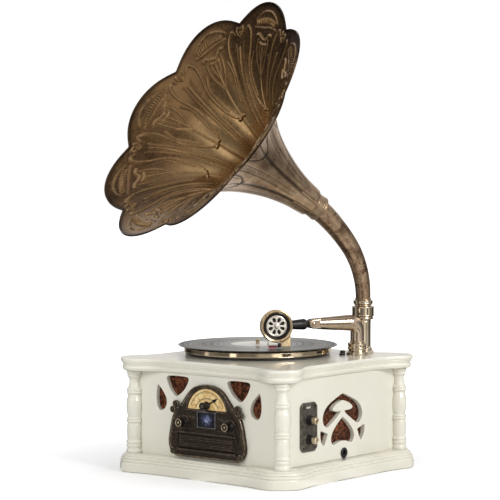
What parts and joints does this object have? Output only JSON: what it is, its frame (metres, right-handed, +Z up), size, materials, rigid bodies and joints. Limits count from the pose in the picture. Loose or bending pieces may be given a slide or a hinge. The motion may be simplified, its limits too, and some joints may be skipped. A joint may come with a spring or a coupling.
{
  "type": "retro record player",
  "caption": "Retro record player: cream cabinet with turned corner columns, radio and disc-drawer fascia, turntable, curved tonearm, and a bronze flower horn on a swan neck.",
  "frame": {"origin": "in the middle of the cabinet's underside, the flat face that it stands on", "axes": "+Z up, the fascia faces -Y, +X towards the side with the control plate"},
  "size_m": [0.4742, 0.558, 0.8676],
  "materials": {
    "cream_lacquer": "satin cream lacquer on board",
    "speaker_cloth": "red-brown woven cloth",
    "horn_bronze": "antique bronze finish on sheet metal",
    "champagne_brass": "polished champagne brass plating",
    "dark_bronze": "dark bronze paint",
    "pewter_plate": "aged pewter paint",
    "black_plastic": "black plastic",
    "rubber": "matt black rubber",
    "vinyl": "black vinyl",
    "steel": "zinc-plated steel",
    "dial_cream": "printed cream dial",
    "dark_glass": "dark display window",
    "circuit_green": "green circuit board",
    "red_plastic": "red plastic"
  },
  "bodies": {
    "cabinet": {"base_board": "cream_lacquer", "deck_board": "cream_lacquer", "column_front_left": "cream_lacquer", "column_front_right": "cream_lacquer", "column_rear_left": "cream_lacquer", "column_rear_right": "cream_lacquer", "front_panel": "cream_lacquer", "right_panel": "cream_lacquer", "left_panel": "cream_lacquer", "rear_panel": "cream_lacquer", "fascia": "dark_bronze", "dial_plate": "dial_cream", "display_window": "dark_glass", "control_plate": "pewter_plate", "headphone_socket": "black_plastic", "front_cloth_left": "speaker_cloth", "front_cloth_right": "speaker_cloth", "right_cloth": "speaker_cloth", "left_cloth": "speaker_cloth", "right_speaker": "black_plastic", "left_speaker": "black_plastic", "cd_housing": "steel", "circuit_board": "circuit_green", "transformer": "steel", "motor": "steel", "spindle_bearing": "steel", "drive_belt": "rubber", "base_plate": "champagne_brass", "arm_nut": "champagne_brass", "horn_post": "champagne_brass", "horn_collar": "champagne_brass", "mains_inlet": "black_plastic", "rear_socket_plate": "black_plastic"},
    "turntable": {"platter": "champagne_brass", "platter_skirt": "black_plastic", "slip_mat": "rubber", "spindle": "champagne_brass", "record": "vinyl"},
    "pulley": {"motor_pulley": "steel"},
    "tonearm": {"tonearm_tube": "champagne_brass", "arm_pin": "steel"},
    "tonearm_head": {"head_neck": "black_plastic", "sound_box_ring": "champagne_brass", "sound_box_cup": "dark_bronze", "sound_box_rosette": "champagne_brass", "head_bracket": "champagne_brass", "cartridge": "black_plastic", "stylus": "red_plastic"},
    "lock_lever": {"arm_lock_lever": "black_plastic"},
    "tuner": {"tuning_knob": "black_plastic", "dial_pointer": "dark_bronze"},
    "left_dial_knob": {"left_knob": "black_plastic"},
    "right_dial_knob": {"right_knob": "black_plastic"},
    "upper_knob": {"upper_side_knob": "black_plastic"},
    "lower_knob": {"lower_side_knob": "black_plastic"},
    "drawer": {"cd_drawer": "dark_bronze"},
    "horn": {"horn_elbow": "horn_bronze", "horn_ferrule": "champagne_brass", "horn_bell": "horn_bronze"}
  },
  "joints": [
    {"name": "platter_spin", "type": "hinge", "parent": "cabinet", "child": "turntable", "pos_m": [-0.03273, 0.01137, 0.22], "axis": [0, 0, 1], "continuous": true},
    {"name": "pulley_spin", "type": "hinge", "parent": "cabinet", "child": "pulley", "pos_m": [0.02727, -0.01863, 0.21], "axis": [0, 0, 1], "continuous": true},
    {"name": "arm_swing", "type": "hinge", "parent": "cabinet", "child": "tonearm", "pos_m": [0.12, 0.121, 0.24], "axis": [0, 0, 1], "range_deg": [-12, 30]},
    {"name": "head_lift", "type": "hinge", "parent": "tonearm", "child": "tonearm_head", "pos_m": [0.07962, 0.0328, 0.2737], "axis": [-0.9092, 0.4163, 0], "range_deg": [0, 25]},
    {"name": "lock_lever_turn", "type": "hinge", "parent": "cabinet", "child": "lock_lever", "pos_m": [0.097, 0.106, 0.214], "axis": [0, 0, 1], "range_deg": [-30, 0]},
    {"name": "tuning", "type": "hinge", "parent": "cabinet", "child": "tuner", "pos_m": [0.002, -0.1793, 0.134], "axis": [0, -1, 0], "range_deg": [-22, 122]},
    {"name": "left_knob_turn", "type": "hinge", "parent": "cabinet", "child": "left_dial_knob", "pos_m": [-0.053, -0.1793, 0.1], "axis": [0, -1, 0], "range_deg": [-150, 150]},
    {"name": "right_knob_turn", "type": "hinge", "parent": "cabinet", "child": "right_dial_knob", "pos_m": [0.057, -0.1793, 0.1], "axis": [0, -1, 0], "range_deg": [-150, 150]},
    {"name": "upper_knob_turn", "type": "hinge", "parent": "cabinet", "child": "upper_knob", "pos_m": [0.176, -0.0985, 0.1135], "axis": [1, 0, 0], "range_deg": [-150, 150]},
    {"name": "lower_knob_turn", "type": "hinge", "parent": "cabinet", "child": "lower_knob", "pos_m": [0.176, -0.0985, 0.0785], "axis": [1, 0, 0], "range_deg": [-150, 150]},
    {"name": "drawer_slide", "type": "slide", "parent": "cabinet", "child": "drawer", "axis": [0, -1, 0], "range_m": [0, 0.118]},
    {"name": "horn_swivel", "type": "hinge", "parent": "cabinet", "child": "horn", "pos_m": [0.107, 0.157, 0.3], "axis": [0, 0, 1], "range_deg": [-60, 60]}
  ],
  "couplings": [
    {"joint": "pulley_spin", "follows": "platter_spin", "ratio": 8.667}
  ]
}
